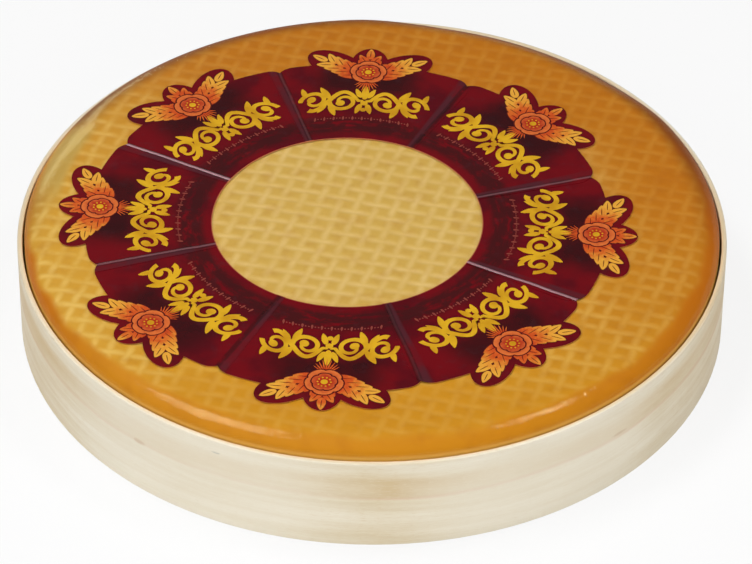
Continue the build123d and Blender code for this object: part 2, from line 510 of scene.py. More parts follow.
def hoop_wood():
    """Peeled veneer with its grain along the strip."""
    paint = Paint("hoop_wood")
    x, y, z = paint.millimetres()
    length, radius = along_strip(x, y)
    drift = paint.noise(paint.vector(length * 0.011, z * 0.02, 0.0), 1.0, 2.0)
    sway = (drift - 0.5) * 5.0
    level = z + sway
    fibre = paint.noise(paint.vector(length * 0.05, level * 1.15, radius * 2.0), 1.0, 5.0, 0.7)
    hair = paint.noise(paint.vector(length * 0.12, level * 3.2, radius * 2.0), 1.0, 2.0, 0.6)
    streak = paint.noise(paint.vector(length * 0.01, level * 0.3, radius * 0.3), 1.0, 3.0, 0.5)
    cloud = paint.noise(paint.vector(length * 0.02, z * 0.06, 3.0), 1.0, 3.0)
    ring = level + (cloud - 0.5) * 3.0
    band = ring.rise(BAND_LOW - 0.7, BAND_LOW + 0.5) * ring.rise(BAND_HIGH + 2.2, BAND_HIGH - 2.6)
    edge = ring.rise(BAND_LOW - 1.6, BAND_LOW) * ring.rise(BAND_LOW + 2.4, BAND_LOW)
    body = paint.mix(streak.rise(0.3, 0.7) * 0.45 + cloud.rise(0.35, 0.65) * 0.3, CREAM, PALE)
    body = paint.mix(band * (0.25 + cloud.rise(0.3, 0.65) * 0.6), body, TAN)
    body = paint.mix(edge * (0.12 + streak.rise(0.4, 0.6) * 0.4), body, PINK)
    body = paint.mix(fibre.rise(0.42, 0.8) * 0.22, body, TAN)
    body = paint.mix(hair.rise(0.5, 0.8) * 0.2, body, PALE)
    dash = paint.noise(paint.vector(length * 0.3, level * 3.4, radius * 2.0), 1.0, 1.0)
    body = paint.mix(dash.rise(0.58, 0.72) * 0.34, body, TAN)
    body = paint.mix(dash.rise(0.42, 0.28) * 0.22, body, PALE)
    # painted light in the pale ovals, and painted shade in the tan ones on the far left and right
    for place in PAINTED_LIGHT_PLACES:
        body = paint.mix(spot(length, z, place) * 0.55, body, PALE)
    for place in PAINTED_SHADE_PLACES:
        body = paint.mix(spot(length, z, place) * 0.3, body, TAN)
    for place in KNOT_PLACES:
        body = paint.mix(spot(length, z, place) * (0.1 + 0.5 * fibre), body, KNOT)
    body = paint.mix(spot(length, z, FLECK_PLACE) * 0.55 * fibre.rise(0.3, 0.6), body, FLECK)
    # painted light: the inner top edge is paler and warmer, as if lit by light thrown up from the
    # cheese
    inner_edge = radius.rise(HOOP_RADIUS - 0.7, HOOP_RADIUS - 1.5)
    body = paint.mix(z.rise(HOOP_HEIGHT - 0.9, HOOP_HEIGHT - 0.3) * inner_edge * 0.6, body, PAINTED_BOUNCE_EDGE)
    normal = paint.bump(fibre + hair * 0.4, 0.12 * MM, 0.6)
    roughness = 0.45 + fibre * 0.2
    return paint.show(
        paint.surface(Base_Color=body, Roughness=roughness, Normal=normal, Specular_IOR_Level=0.4)
    )


dress("side_hoop", hoop_wood())

# %% [markdown]
# The board that closes the tray is a plain planed board, so its grain is straight: long growth
# lines that run from side to side, bent a little by noise, and fine pores between them. The same
# paint covers its underside, which shows when the box is turned over.


# %% Wood of the board
BOARD_LIGHT = paint_card(226, 205, 168)
BOARD_DARK = paint_card(196, 163, 118)
GROWTH_PITCH = 9.0


def board_wood():
    """Planed board with straight grain along X."""
    paint = Paint("board_wood")
    x, y, z = paint.millimetres()
    bend = paint.noise(paint.vector(x * 0.006, y * 0.02, z * 0.02), 1.0, 2.0)
    growth = ((y + bend * 42.0) * (2 * math.pi / GROWTH_PITCH)).sine() * 0.5 + 0.5
    fine = paint.noise(paint.vector(x * 0.02, y * 1.6, z * 1.6), 1.0, 4.0, 0.6)
    pores = paint.noise(paint.vector(x * 0.12, y * 2.6, z * 2.6), 1.0, 1.0).rise(0.66, 0.74)
    body = paint.mix(growth * 0.45 + fine * 0.5, BOARD_LIGHT, BOARD_DARK)
    body = paint.mix(pores * 0.4, body, KNOT)
    normal = paint.bump(fine - pores * 0.5, 0.1 * MM, 0.5)
    return paint.show(paint.surface(Base_Color=body, Roughness=0.5 + fine * 0.25, Normal=normal))


dress("base_board", board_wood())

# %% [markdown]
# Four wire staples hold the lap at the back. They are bright steel wire with the fine draw marks
# that a die leaves, so a little noise in roughness is all that they need.


# %% Wire of the staples
STEEL = paint_card(186, 184, 178)
STEEL_DULL = paint_card(150, 145, 136)


def staple_wire():
    """Drawn steel wire, a little dulled."""
    paint = Paint("staple_wire")
    x, y, z = paint.millimetres()
    marks = paint.noise(paint.vector(x * 6.0, y * 6.0, z * 0.8), 1.0, 2.0)
    body = paint.mix(marks.rise(0.4, 0.7), STEEL, STEEL_DULL)
    return paint.show(paint.surface(Base_Color=body, Metallic=1.0, Roughness=0.25 + marks * 0.2))


dress("hoop_staples", staple_wire())

# %% [markdown]
# The wheel was smoked in a cloth, and the threads left their imprint on its top. The imprint is a
# plain weave: threads in two directions, and at each crossing the one that lay on top presses
# deeper. The cloth was dragged a little out of square, which two slow waves stand for. All that is
# a formula of the place alone, so the same few lines serve twice: once on arrays, to sink the
# threads into the mesh, and once on sockets, to paint them lighter where the cloth kept the smoke
# off. The two only differ in what floor, cosine, sine and the larger of two are called.

# %% The cloth's weave
THREAD_PITCH = (7.9, 7.6)
THREAD_HALF = 2.5
THREAD_TURN = math.radians(-15.5)
THREAD_LEAN = 0.3
THREAD_TOP = 0.84
THREAD_DEPTH = 0.24
CLOTH_DRAG = 0.9
CLOTH_DRAG_LENGTHS = (31.0, 19.0)
WEAVE_EDGE = 141.0
WEAVE_FADE = 5.0


def thread(across, along, pitch_across, pitch_along, shift, tools):
    """Strength of one set of threads: a rounded line at each pitch, strong where it lay on top."""
    floor_of, cosine, sine, above = tools
    number = floor_of(across / pitch_across + 0.5)
    phase = (along / pitch_along + number + shift) * math.pi
    off = (across - number * pitch_across - sine(phase) * THREAD_LEAN) / THREAD_HALF
    line = above(1.0 - off * off, 0.0)
    return line * line * (THREAD_TOP + (1.0 - THREAD_TOP) * cosine(phase))


def weave(x, y, tools):
    """Strength of the imprint at a place in plan, from 0 to about 1."""
    sine, above = tools[2:]
    long_drag, short_drag = CLOTH_DRAG_LENGTHS
    pulled_x = x + (sine(y / long_drag + x / short_drag) + sine(y / short_drag)) * CLOTH_DRAG * 0.5
    pulled_y = y + (sine(x / long_drag - y / short_drag) + sine(x / short_drag)) * CLOTH_DRAG * 0.5
    along = pulled_x * math.cos(THREAD_TURN) + pulled_y * math.sin(THREAD_TURN)
    across = pulled_y * math.cos(THREAD_TURN) - pulled_x * math.sin(THREAD_TURN)
    wide, high = THREAD_PITCH
    warp = thread(along, across, wide, high, 0.0, tools)
    weft = thread(across, along, high, wide, 1.0, tools)
    return above(warp, weft)


ARRAY_TOOLS = (np.floor, np.cos, np.sin, np.maximum)
SOCKET_TOOLS = (Flow.floor, Flow.cosine, Flow.sine, Flow.above)
print("imprint at the wheel's middle", round(float(weave(0.0, 0.0, ARRAY_TOOLS)), 2))

# %% [markdown]
# The wheel itself is turned like a pot: a profile of radius and height, swept round. Its top has a
# ring for every millimetre or so, which is what it takes to sink threads into it that are a few
# millimetres wide. Behind on the right, this wheel's shoulder has slumped a little, so that the
# hoop's rim shows over it. The slump takes a share of its depth from each of three smooth steps:
# outwards, to the right and to the back. The profile follows the CAD wheel, and threads and slump
# only ever go down, so the piece stays inside the CAD solid that it replaces.


# %% The wheel with its imprint
RING_STEP = 1.25
WHEEL_SEGMENTS = 720
SHOULDER_STEPS = 12
FOOT_STEPS = 5
SLUMP = 2.3
SLUMP_RADII = (133.0, 145.0)
SLUMP_RIGHT = (-10.0, 35.0)
SLUMP_BACK = (70.0, 105.0)


def smooth_rise(values, low, high):
    """0 below the low end and 1 above the high one, with a soft start and end."""
    share = np.clip((values - low) / (high - low), 0.0, 1.0)
    return share * share * (3.0 - 2.0 * share)


def slump(points):
    """Lowers the shoulder at the back on the right, from the hoop's rim upwards."""
    radius = np.hypot(points[:, 0], points[:, 1])
    share = smooth_rise(radius, *SLUMP_RADII) * smooth_rise(points[:, 0], *SLUMP_RIGHT)
    share = share * smooth_rise(points[:, 1], *SLUMP_BACK) * (points[:, 2] > HOOP_HEIGHT)
    points[:, 2] -= share * SLUMP


def wheel_profile(radius, low, high, grow):
    """Profile of the wheel from the middle of its top to the middle of its underside."""
    flat = radius - SHOULDER_REACH - grow
    steps = round(flat / RING_STEP)
    top = [(flat * index / steps, high) for index in range(steps)]
    reach = SHOULDER_REACH + grow
    fall = SHOULDER_DROP + grow
    shoulder = arc_points((flat, high - fall), reach, fall, 90, 0, SHOULDER_STEPS)
    bend = WHEEL_FOOT + grow
    foot = arc_points((radius - bend, low + bend), bend, bend, 0, -90, FOOT_STEPS)
    return top + shoulder + foot + [(radius * 0.5, low), (0.0, low)]


def imprinted_wheel(material):
    """The cheese wheel as a mesh, with the threads sunk into its top."""
    profile = wheel_profile(WHEEL_RADIUS, wheel_low.z, wheel_high.z, 0.0)
    points, faces = turned(profile, WHEEL_SEGMENTS)
    radius = np.hypot(points[:, 0], points[:, 1])
    on_top = points[:, 2] > wheel_high.z - SHOULDER_DROP / 2
    fade = np.clip((WEAVE_EDGE - radius) / WEAVE_FADE, 0.0, 1.0) * on_top
    points[:, 2] -= weave(points[:, 0], points[:, 1], ARRAY_TOOLS) * THREAD_DEPTH * fade
    slump(points)
    print("wheel faces", len(faces))
    wheel = piece("cheese_wheel_imprinted", points, faces, material)
    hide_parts("cheese_wheel")
    return wheel


# %% [markdown]
# Smoked rind is not one colour. The squares between the threads took the smoke and are ochre, and
# the threads are paler. The middle is the palest. From there the rind turns to amber on the left
# and in front, and to brown on the right and behind, partly from the smoke and partly as painted
# shade. The shoulder is smooth and a shade darker, and painted shade darkens it further towards the
# rim at the back. In front, a paler band of painted light lies where the hoop's rim shades the
# wheel. Behind on the left, the rind under the film's crescent is painted paler and greener, as part
# of that reflection. The side, which the tray hides, is blotched. Each of these is a mask of the
# place that mixes its own colour in, and soft noise breaks them up.


# %% Rind of the wheel
STRAW = paint_card(206, 166, 79)
STRAW_LINE = paint_card(223, 189, 116)
AMBER = paint_card(208, 151, 38)
AMBER_LINE = paint_card(226, 183, 86)
BROWN = paint_card(188, 111, 16)
BROWN_LINE = paint_card(198, 129, 37)
SHOULDER_AMBER = paint_card(200, 130, 18)
SHOULDER_BROWN = paint_card(187, 96, 3)
SPECK = paint_card(160, 84, 12)
FRONT = paint_card(199, 132, 16)
FAR_RIM_SHADE = paint_card(104, 52, 16)
RIM_FILL_LIGHT = paint_card(236, 180, 84)
CRESCENT_REFLECTION = paint_card(184, 150, 72)
CRESCENT_TURNS = ((150.0, 158.0), (168.0, 181.0))


def rind():
    """Smoked rind with the weave, amber at the edge, and brown on the right partly as painted shade."""
    paint = Paint("rind")
    x, y, z = paint.millimetres()
    radius = distance(x, y)
    cloud = paint.noise(paint.vector(x * 0.014, y * 0.014, z * 0.014), 1.0, 3.0)
    mottle = paint.noise(paint.vector(x * 0.12, y * 0.12, z * 0.12), 1.0, 3.0)
    wander = paint.noise(paint.vector(x * 0.03, y * 0.03, 7.0), 1.0, 2.0)
    patchy = paint.noise(paint.vector(x * 0.06, y * 0.06, 11.0), 1.0, 3.0)
    left = (0.0 - x).rise(70.0, 140.0) * y.rise(-115.0, -40.0)
    reach = radius + (wander - 0.5) * 10.0 - left * 3.0
    netted = reach.rise(WEAVE_EDGE + 2.0, WEAVE_EDGE - 2.0)
    uneven = paint.noise(paint.vector(x * 0.16, y * 0.16, 13.0), 1.0, 2.0)
    outward = (radius + (cloud - 0.5) * 40.0).rise(50.0, 112.0)
    kept = ((patchy - 0.5) * (1.2 + outward * 1.6) + uneven * 0.6 + 0.45).held()
    lines = weave(x, y, SOCKET_TOOLS) * kept * netted
    outward = outward * (1.0 - (0.0 - x).rise(60.0, 130.0) * 0.2)
    # browner towards the right and the back: partly the smoke, partly painted shade where less light
    # falls
    side = (x * 0.53 + y * 0.77 + (cloud - 0.5) * 90.0).rise(-95.0, 115.0)
    side = side.above(y.rise(45.0, 110.0) * 0.95)
    front = (0.0 - y).rise(75.0, 125.0) * outward * 0.7
    square = paint.mix(outward, STRAW, paint.mix(side, AMBER, BROWN))
    line = paint.mix(outward, STRAW_LINE, paint.mix(side, AMBER_LINE, BROWN_LINE))
    body = paint.mix(front, paint.mix(lines, square, line), FRONT)
    left = left * y.rise(8.0, -30.0) * 0.75
    shoulder = paint.mix(side.above(left), SHOULDER_AMBER, SHOULDER_BROWN)
    body = paint.mix(1.0 - netted, body, shoulder)
    low = z.rise(HOOP_HEIGHT - 4.0, HOOP_HEIGHT - 14.0)
    body = paint.mix(mottle.rise(0.45, 0.8) * (low * 0.3 + 0.2), body, SPECK)
    body = paint.mix(low * cloud.rise(0.45, 0.6) * 0.4, body, AMBER_LINE)
    turn = degrees_round(x, y)
    (veil_start, veil_full), (veil_last, veil_end) = CRESCENT_TURNS
    # painted reflection: the rind under the film's crescent is paler and greener, as part of that
    # mirror image
    painted_crescent = turn.rise(veil_start, veil_full) * turn.rise(veil_end, veil_last) * radius.rise(131.0, 136.0)
    body = paint.mix(painted_crescent * radius.rise(146.0, 142.0) * 0.85, body, CRESCENT_REFLECTION)
    # painted shade: the shoulder darkens towards its rim at the back
    painted_far_shade = radius.rise(WHEEL_RADIUS - 13.5, WHEEL_RADIUS - 3.5) * y.rise(-30.0, 60.0)
    body = paint.mix(painted_far_shade * (1.0 - painted_crescent) * 0.7, body, FAR_RIM_SHADE)
    # painted light: a paler band in front, around the hoop's rim, against the shade of the gap
    painted_rim_light = z.rise(HOOP_HEIGHT + 2.0, HOOP_HEIGHT) * z.rise(HOOP_HEIGHT - 9.0, HOOP_HEIGHT - 1.0)
    body = paint.mix(painted_rim_light * y.rise(20.0, -30.0) * 0.9, body, RIM_FILL_LIGHT)
    normal = paint.bump(mottle, 0.2 * MM, 0.3)
    roughness = 0.5 + mottle * 0.15
    return paint.show(
        paint.surface(Base_Color=body, Roughness=roughness, Normal=normal, Specular_IOR_Level=0.12)
    )


imprinted_wheel(rind())

# %% [markdown]
# Clear film is a skin with nothing inside. What shows is only what it mirrors: a little head on
# and much more at a slant. So its shader mixes a see-through one with a mirror. The Fresnel node
# would be wrong for the factor, because it takes the back of a thin sheet for the inside of a
# block of glass, which mirrors everything. The Facing value is the same from both sides, and its
# fifth power is a well-known stand-in for the law. It is cut off near the horizon, where a wrap
# with its small wrinkles never gets as bright as a perfect sheet, and it is turned down by a share,
# because the film is a closed sheet with two sides. The film clings to the wheel, so its gloss
# dips a little with each thread, and round the shoulder it is drawn into faint pulls and crimps
# that break up the highlights. Behind on the left it stands off the rind a little and slopes down
# earlier, which widens the crescent there. Real wrinkles would be far finer than the mesh, so all
# of that is one height that bends the normal.


# %% Clear film
FILM_SHEET = 0.08
FILM_MIRROR = 0.04
FILM_SIDE_SHARE = 0.19
FILM_STEEPEST = 0.5
FILM_TINT = (0.94, 0.97, 0.58, 1.0)
FOLD_START = 133.5
FOLD_SLOPE = 0.17
FOLD_TURNS = ((143.0, 155.0), (160.0, 175.0))
FILM_SEGMENTS = 368
FILM_BUMP = 0.12
FILM_OVER = 0.4
FILM_RING_STEP = 6


def clear_film():
    """See-through film that mirrors more at a slant."""
    paint = Paint("clear_film")
    x, y, z = paint.millimetres()
    wave = paint.noise(paint.vector(x * 0.035, y * 0.035, z * 0.05), 1.0, 3.0)
    ripple = paint.noise(paint.vector(x * 0.2, y * 0.2, z * 0.12), 1.0, 2.0)
    radius = distance(x, y)
    sunk = weave(x, y, SOCKET_TOOLS) * radius.rise(WEAVE_EDGE, WEAVE_EDGE - 8.0)
    turn = y.angle_from(x)
    pulls = paint.noise(paint.vector(turn * 16.0, radius * 0.12, z * 0.2), 1.0, 3.0, 0.6)
    crimp = paint.noise(paint.vector(turn * 70.0, radius * 0.3, z * 0.3), 1.0, 2.0)
    shoulder = radius.rise(FILM_RADIUS - SHOULDER_REACH, FILM_RADIUS - 3.0)
    crimped = radius.rise(FILM_RADIUS - 12.0, FILM_RADIUS - 9.0)
    crimped = crimped * radius.rise(FILM_RADIUS, FILM_RADIUS - 3.0)
    round_turn = degrees_round(x, y)
    (fold_start, fold_full), (fold_last, fold_end) = FOLD_TURNS
    fold = round_turn.rise(fold_start, fold_full) * round_turn.rise(fold_end, fold_last)
    fold = (radius - FOLD_START).above(0.0) * fold
    height = wave * 3.0 + ripple * 0.35 - sunk * 0.12 + pulls * shoulder * 2.2
    height = height + (crimp - 0.5) * crimped * 1.5
    height = height - fold * (FOLD_SLOPE / FILM_BUMP)
    normal = paint.bump(height, FILM_BUMP * MM, 1.0)
    clear = paint.node("ShaderNodeBsdfTransparent", given={"Color": (1, 1, 1, 1)})
    roughness = 0.05 + ripple * 0.05
    mirror = paint.surface(Base_Color=FILM_TINT, Metallic=1.0, Roughness=roughness, Normal=normal)
    slant = paint.node("ShaderNodeLayerWeight", given={"Blend": 0.5, "Normal": normal}, out="Facing")
    slant = slant.below(FILM_STEEPEST)
    share = (FILM_MIRROR + (1.0 - FILM_MIRROR) * slant ** 5.0) * FILM_SIDE_SHARE
    return paint.show(paint.node("ShaderNodeMixShader", given={0: share, 1: clear, 2: mirror}))


def drawn_film(material):
    """The film as a thin closed sheet over the wheel, turned under as a hem."""
    whole = wheel_profile(FILM_RADIUS, film_low.z, film_high.z, FILM_OVER)[1:-2]
    kept = range(FILM_RING_STEP - 1, len(whole), FILM_RING_STEP)
    outer = [ring for index, ring in enumerate(whole) if ring[1] < film_high.z or index in kept]
    outer.append((FILM_RADIUS - FILM_HEM, film_low.z))
    inner = []
    for radius, height in outer:
        lift = FILM_SHEET if height < film_low.z + WHEEL_FOOT else 0.0
        sink = FILM_SHEET if height > film_high.z - SHOULDER_DROP else 0.0
        inset = FILM_SHEET if radius > FILM_RADIUS - SHOULDER_REACH else 0.0
        inner.append((radius - inset, height + lift - sink))
    profile = [(0.0, film_high.z)] + outer + inner[::-1] + [(0.0, film_high.z - FILM_SHEET)]
    points, faces = turned(profile, FILM_SEGMENTS)
    slump(points)
    print("film faces", len(faces))
    film = piece("film_drawn", points, faces, material)
    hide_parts("film_cover")
    return film


film_paint = clear_film()
drawn_film(film_paint)
dress("film_base_sheet", film_paint)

# %% [markdown]
# All eight labels share one paint. Each is the same print, turned by an eighth of the ring, so the
# paint folds the angle: it takes the angle about the ring's centre modulo 45 degrees, which gives
# every label its own copy of the same place. What should differ from label to label, such as the
# mottled haze of painted reflection on the gloss, is noise on the unfolded place.


# %% Places on a label
def folded(x, y):
    """Radius, millimetres right of a label's middle, and turn in labels, about the ring's centre."""
    right = x - LABEL_X
    back = y - LABEL_Y
    radius = distance(right, back)
    turn = back.angle_from(right) / math.radians(LABEL_PITCH) - LABEL_START / LABEL_PITCH
    sideways = (0.5 - turn % 1.0) * math.radians(LABEL_PITCH) * radius
    return radius, sideways, turn


# %% [markdown]
# The print is a deep wine red under gloss. It is almost black behind the ornament and mottled brown
# below it, and keeps its bright red along the edges, so its paint works with the place on the
# label. Each label is stuck over its neighbour's edge, and the lap shows as a greyish stripe with
# a crease: a small rounded ridge, painted a little paler than the print as a painted highlight,
# with a line of painted shade along it. The highlight is painted strongest on the seams that face
# the lamp on the left, so a ramp round the ring says how strong the highlight and the ridge are at
# each seam. The cut edge of the paper is pale.

# %% Label print
WINE = paint_card(110, 0, 12)
WINE_DARK = paint_card(72, 0, 14)
SHADE = paint_card(34, 6, 8)
MOTTLE = paint_card(58, 12, 14)
GLOSS_HAZE_AND_LAP_GREY = paint_card(76, 33, 41)
CREASE_HIGHLIGHT = paint_card(190, 132, 140)
CUT_PAPER = paint_card(230, 140, 92)
CREASE = 0.9
CREASE_AND_HIGHLIGHT_SHARES = (0.3, 0.0, 0.1, 1.0, 0.35, 0.0, 0.05, 0.85)


def label_print():
    """Glossy wine-red print with shade behind the ornament, lap stripe and crease."""
    paint = Paint("label_print")
    x, y, z = paint.millimetres()
    radius, sideways, turn = folded(x, y)
    cloud = paint.noise(paint.vector(x * 0.05, y * 0.05, 1.0), 1.0, 3.0)
    patch = paint.noise(paint.vector(x * 0.13, y * 0.13, 5.0), 1.0, 4.0, 0.65)
    streak = paint.noise(paint.vector(sideways * 0.08, radius * 0.3, cloud * 9.0), 1.0, 3.0, 0.6)
    aside = abs(sideways)
    behind = aside.rise(30.0, 14.0) * radius.rise(86.0, 95.0) * radius.rise(116.0, 103.0)
    below = aside.rise(34.0, 22.0) * radius.rise(LABEL_INNER + 2.0, LABEL_INNER + 6.0)
    below = below * radius.rise(76.0, 69.0)
    middle = aside.rise(30.0, 12.0) * radius.rise(72.0, 80.0) * radius.rise(96.0, 88.0)
    body = paint.mix(cloud.rise(0.42, 0.65) * 0.7, WINE, WINE_DARK)
    body = paint.mix(middle * patch.rise(0.35, 0.6) * 0.6, body, WINE_DARK)
    body = paint.mix(behind * (0.55 + 0.45 * patch), body, SHADE)
    body = paint.mix(below * streak.rise(0.3, 0.55) * 0.85, body, MOTTLE)
    # painted reflection: a mottled grey haze on the gloss
    body = paint.mix(patch.rise(0.54, 0.7) * 0.22, body, GLOSS_HAZE_AND_LAP_GREY)
    lap_share = LABEL_LAP / LABEL_OUTER / math.radians(LABEL_PITCH)
    past_seam = turn + lap_share / 2 + (cloud - 0.5) * 0.02
    stripe = (past_seam % 1.0).rise(0.0, 0.006) * (past_seam % 1.0).rise(lap_share, lap_share * 0.6)
    body = paint.mix(stripe * (0.2 + cloud.rise(0.35, 0.6) * 0.6), body, GLOSS_HAZE_AND_LAP_GREY)
    off_seam = abs((past_seam + 0.5) % 1.0 - 0.5) * math.radians(LABEL_PITCH) * radius
    # painted shade: a dark line along every seam, broken up by noise
    body = paint.mix(off_seam.rise(1.6, 0.6) * patch.rise(0.3, 0.5) * 0.6, body, SHADE)
    stops = [((seam + 0.5) / LABEL_COUNT, (s, s, s, 1)) for seam, s in enumerate(CREASE_AND_HIGHLIGHT_SHARES)]
    around = (past_seam + 0.5) % LABEL_COUNT / LABEL_COUNT
    crease_and_highlight = paint.node("ShaderNodeValToRGB", {"stops": stops}, {"Fac": around})
    # painted highlight along each crease, as strong as the ramp gives for its seam
    body = paint.mix(off_seam.rise(0.85, 0.15) * crease_and_highlight * 0.8, body, CREASE_HIGHLIGHT)
    body = paint.mix(radius.rise(LABEL_INNER + 0.5, LABEL_INNER + 0.1) * 0.6, body, CUT_PAPER)
    paper_top = FILM_TOP + LABEL_THICKNESS
    body = paint.mix(z.rise(paper_top - 0.01, paper_top - 0.03), body, CUT_PAPER)
    ridge = off_seam.rise(CREASE, 0.0) * crease_and_highlight
    normal = paint.bump(ridge + cloud * 0.5, 0.36 * MM, 1.0)
    return paint.show(
        paint.surface(
            Base_Color=body,
            Roughness=0.15 + patch * 0.08,
            Normal=normal,
            Coat_Weight=0.1,
            Coat_Roughness=0.08,
            Specular_IOR_Level=0.3,
        )
    )


label_paint = label_print()
for number in range(1, LABEL_COUNT + 1):
    dress("label_" + str(number), label_paint)

# %% [markdown]
# The printed ornament is a traditional one: a running scroll in gold along the label's arc, a line
# of beads below it, and on the crest a blossom between ears of wheat. Shader maths for so many
# small shapes would be long and hard to read, so each is a very thin closed plate with its outline
# from a formula, laid on the label like gold leaf. One helper turns an outline into a plate, and
# another places a whole motif on its label.

# %% Plates from outlines
PRINT_GAP = 0.005
PRINT_BASE = FILM_TOP + LABEL_THICKNESS + PRINT_GAP
PRINT_HEIGHT = 0.03
PLATE_STEP = 0.0005


class Motif:
    """Thin plates that become one mesh, drawn upright: x is to the right, y is outwards."""

    def __init__(self, name, material, height, bent=False):
        self.bent = bent
        self.name = name
        self.material = material
        self.height = height
        self.points = []
        self.faces = []
        self.count = 0

    def plate(self, outline):
        """Adds one closed plate from its outline, a hair higher than the one before it."""
        top = self.height + PLATE_STEP * self.count
        self.count += 1
        start = len(self.points)
        count = len(outline)
        self.points += [(px, py, 0.0) for px, py in outline]
        self.points += [(px, py, top) for px, py in outline]
        self.faces.append(tuple(start + index for index in reversed(range(count))))
        self.faces.append(tuple(start + count + index for index in range(count)))
        for index in range(count):
            following = (index + 1) % count
            self.faces.append(
                (start + index, start + following, start + count + following, start + count + index)
            )

    def on_label(self, number):
        """Lays the motif on one label, and bends it along the ring if it asks for that."""
        middle = math.radians(LABEL_START + (number + 0.5) * LABEL_PITCH)
        placed = []
        for px, py, pz in self.points:
            angle = middle - (px / py if self.bent else math.atan2(px, py))
            reach = py if self.bent else math.hypot(px, py)
            right = LABEL_X + reach * math.cos(angle)
            back = LABEL_Y + reach * math.sin(angle)
            placed.append((right, back, PRINT_BASE + pz))
        name = self.name + "_" + str(number + 1)
        return piece(name, placed, self.faces, self.material, smooth=False)


def drop(cx, cy, length, width, turn, points=22, waist=0.62):
    """Outline of a leaf or drop from its stalk end, pointing along a turn in degrees."""
    outline = []
    for index in range(points):
        t = 2 * math.pi * index / points
        along = length * (0.5 - 0.5 * math.cos(t))
        side = width / 2 * math.sin(t) * (1.0 - (1.0 - waist) * (along / length) ** 2 * 1.3)
        outline.append((along, side))
    c, s = math.cos(math.radians(turn)), math.sin(math.radians(turn))
    return [(cx + c * px - s * py, cy + s * px + c * py) for px, py in outline]


def disc(cx, cy, radius, points=20):
    """Outline of a small round."""
    turns = [2 * math.pi * index / points for index in range(points)]
    return [(cx + radius * math.cos(t), cy + radius * math.sin(t)) for t in turns]


def ribbon(path, widths):
    """Outline of a ribbon along a path, as wide at each point as its width."""
    left, right = [], []
    for index, (px, py) in enumerate(path):
        ax, ay = path[max(index - 1, 0)]
        bx, by = path[min(index + 1, len(path) - 1)]
        run = math.hypot(bx - ax, by - ay)
        nx, ny = -(by - ay) / run, (bx - ax) / run
        half = widths[index] / 2
        left.append((px + nx * half, py + ny * half))
        right.append((px - nx * half, py - ny * half))
    return right + left[::-1]


# %% [markdown]
# Gold ink is a flat, slightly greenish yellow with a faint unevenness. The crest is printed in
# red, orange and gold: its colour goes from a red heart outwards to gold tips, so it depends on
# the folded place on the label, broken up by noise as a brush would.

# %% Inks
GOLD = paint_card(222, 172, 30)
GOLD_DEEP = paint_card(196, 140, 18)
ORANGE = paint_card(206, 84, 28)
FLAME = paint_card(170, 34, 16)
TIP = paint_card(228, 164, 56)
OUTLINE = paint_card(84, 14, 12)
DULL = paint_card(136, 60, 50)
PEACH = paint_card(218, 112, 50)
CREST_HEART = 105.0


def ink(name, colour_of):
    """A printed ink: the colour comes from a function of the paint and the place."""
    paint = Paint(name)
    x, y = paint.millimetres()[:2]
    colour = colour_of(paint, x, y)
    grain = paint.noise(paint.vector(x * 0.6, y * 0.6, 2.0), 1.0, 2.0)
    return paint.show(
        paint.surface(
            Base_Color=colour, Roughness=0.18 + grain * 0.1, Coat_Weight=0.1, Coat_Roughness=0.1,
            Specular_IOR_Level=0.3,
        )
    )


def gold_colour(paint, x, y):
    """Gold with a faint cloud."""
    cloud = paint.noise(paint.vector(x * 0.09, y * 0.09, 4.0), 1.0, 2.0)
    return paint.mix(cloud.rise(0.35, 0.7), GOLD, GOLD_DEEP)


def from_heart(x, y):
    """Distance from the heart of a label's crest."""
    radius, sideways = folded(x, y)[:2]
    return distance(radius - CREST_HEART, sideways)


def crest_colour(paint, x, y):
    """Red at the crest's heart, orange further out and gold at the tips."""
    brush = paint.noise(paint.vector(x * 0.35, y * 0.35, 6.0), 1.0, 3.0, 0.65)
    reach = from_heart(x, y) + (brush - 0.5) * 16.0
    warm = paint.mix(reach.rise(2.0, 11.0), FLAME, ORANGE)
    return paint.mix(reach.rise(9.0, 21.0), warm, TIP)


def blossom_colour(paint, x, y):
    """Petals that pale from a red heart to orange edges."""
    brush = paint.noise(paint.vector(x * 0.5, y * 0.5, 8.0), 1.0, 3.0)
    return paint.mix((from_heart(x, y) + (brush - 0.5) * 5.0).rise(1.5, 8.5), FLAME, PEACH)


gold_ink = ink("gold_ink", gold_colour)
crest_ink = ink("crest_ink", crest_colour)
blossom_ink = ink("blossom_ink", blossom_colour)
outline_ink = ink("outline_ink", lambda paint, x, y: OUTLINE)
dull_ink = ink("dull_ink", lambda paint, x, y: DULL)

# %% [markdown]
# The gold ornament is a running scroll, as on old friezes: a stem that swings up and down, with a
# tendril curling into each hollow and leaves where they part. It is drawn once for the right half
# and mirrored, with a small palmette in the middle. A curl is a spiral: the angle grows evenly
# while the radius shrinks.

# %% Running scroll
SCROLL_RADIUS = 84.0
SCROLL_REACH = 28.5
SCROLL_LEAD = 2.6
SCROLL_SWAY = 6.2
STEM_WIDTH = 2.4
STEM_STEPS = 56
CURL_STEPS = 44
CURL_TURNS = 1.12
CURL_END = 1.7
BERRY = 2.0


def mirrored(motif, outline):
    """Adds an outline and its mirror image."""
    motif.plate(outline)
    motif.plate([(-px, py) for px, py in reversed(outline)])


def curl(cx, cy, radius, way):
    """Outline of a tendril that starts at the right of its hollow and curls inwards."""
    path, widths = [], []
    for index in range(CURL_STEPS + 1):
        share = index / CURL_STEPS
        angle = way * share * CURL_TURNS * 2 * math.pi
        reach = radius + (CURL_END - radius) * share
        path.append((cx + reach * math.cos(angle), cy + reach * math.sin(angle)))
        widths.append(STEM_WIDTH * (1.0 - 0.45 * share))
    return ribbon(path, widths), path[-1]


